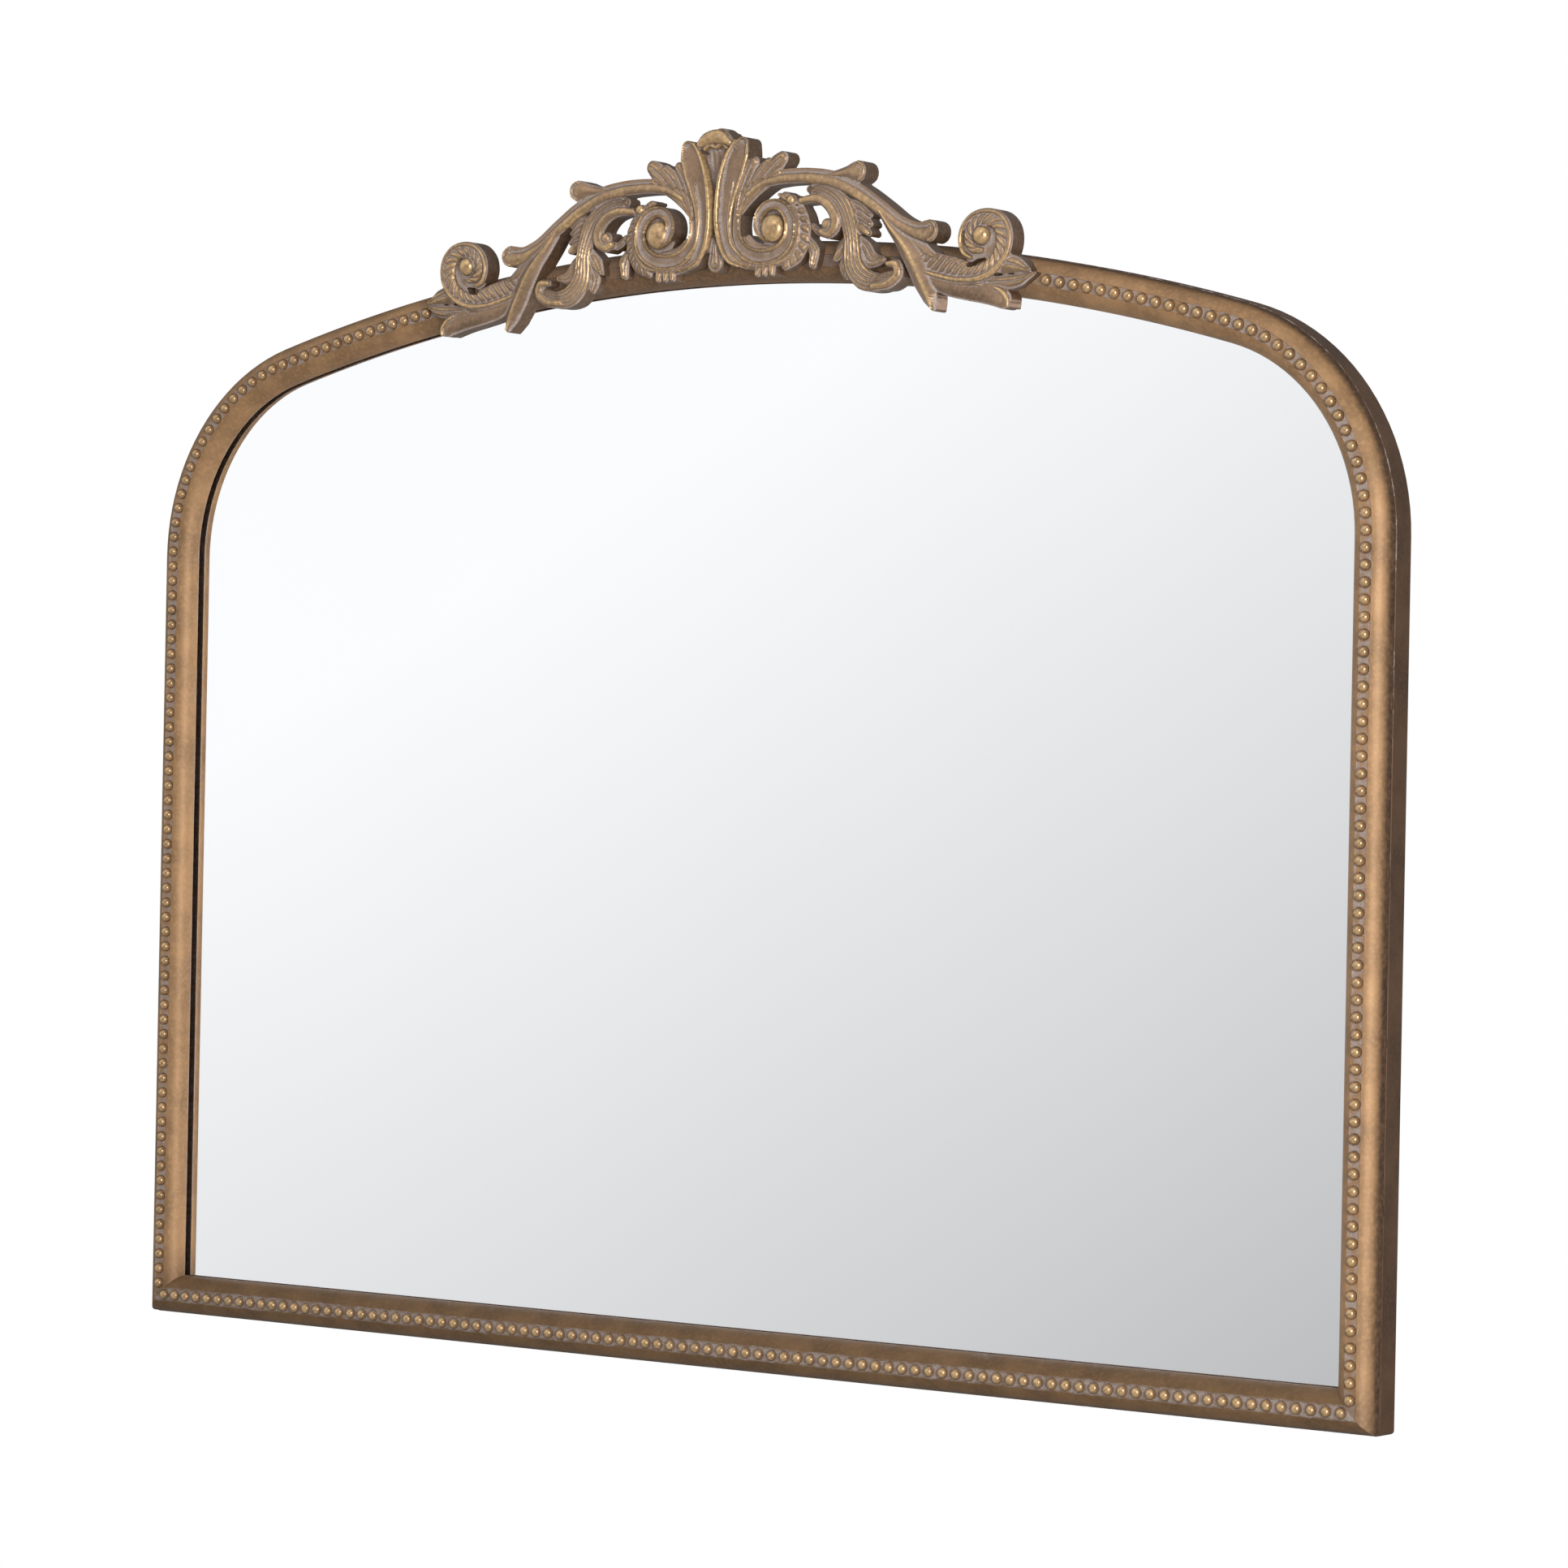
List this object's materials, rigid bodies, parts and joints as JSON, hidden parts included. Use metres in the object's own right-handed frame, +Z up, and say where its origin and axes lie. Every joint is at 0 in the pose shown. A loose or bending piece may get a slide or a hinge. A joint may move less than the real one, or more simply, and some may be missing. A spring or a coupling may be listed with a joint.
{
  "type": "arched wall mirror",
  "caption": "Arched wall mirror in a beaded half-round metal frame with a cast scrollwork crest, hung on two swinging D-rings at the back.",
  "frame": {"origin": "on the wall plane and the centre line, level with the two hanger eyes and the springing line of the arch", "axes": "+X to the right seen from the front, +Y towards the wall, +Z up"},
  "size_m": [0.914, 0.0427, 0.7375],
  "materials": {
    "bronze_finish": "antique bronze, rubbed with gold along the ridge",
    "rim_finish": "dark bronze, satin",
    "gilt_finish": "rubbed gold over bronze",
    "crest_finish": "antique bronze, gold on the ridges and pale glaze in the hollows",
    "silvered_glass": "clear float glass, silvered behind",
    "fibreboard": "raw fibreboard",
    "soft_rubber": "matt",
    "steel": "zinc plated",
    "felt": "felt"
  },
  "bodies": {
    "mirror_body": {"moulding_bow": "bronze_finish", "moulding_rail": "bronze_finish", "rim_bow": "rim_finish", "rim_rail": "rim_finish", "bow_beading": "gilt_finish", "rail_beading": "gilt_finish", "crest": "crest_finish", "crest_pins": "steel", "glass_pads": "soft_rubber", "setting_blocks": "soft_rubber", "mirror_glass": "silvered_glass", "backing_board": "fibreboard", "board_tabs": "rim_finish", "hanger_plate_left": "steel", "hanger_plate_right": "steel", "hanger_screws": "steel", "wall_bumpers": "felt"},
    "left_ring": {"hanger_ring_left": "steel"},
    "right_ring": {"hanger_ring_right": "steel"}
  },
  "joints": [
    {"name": "left_ring_swing", "type": "hinge", "parent": "mirror_body", "child": "left_ring", "pos_m": [-0.28, -0.0029, 0], "axis": [1, 0, 0], "range_deg": [0, 180]},
    {"name": "right_ring_swing", "type": "hinge", "parent": "mirror_body", "child": "right_ring", "pos_m": [0.28, -0.0029, 0], "axis": [1, 0, 0], "range_deg": [0, 180]}
  ]
}
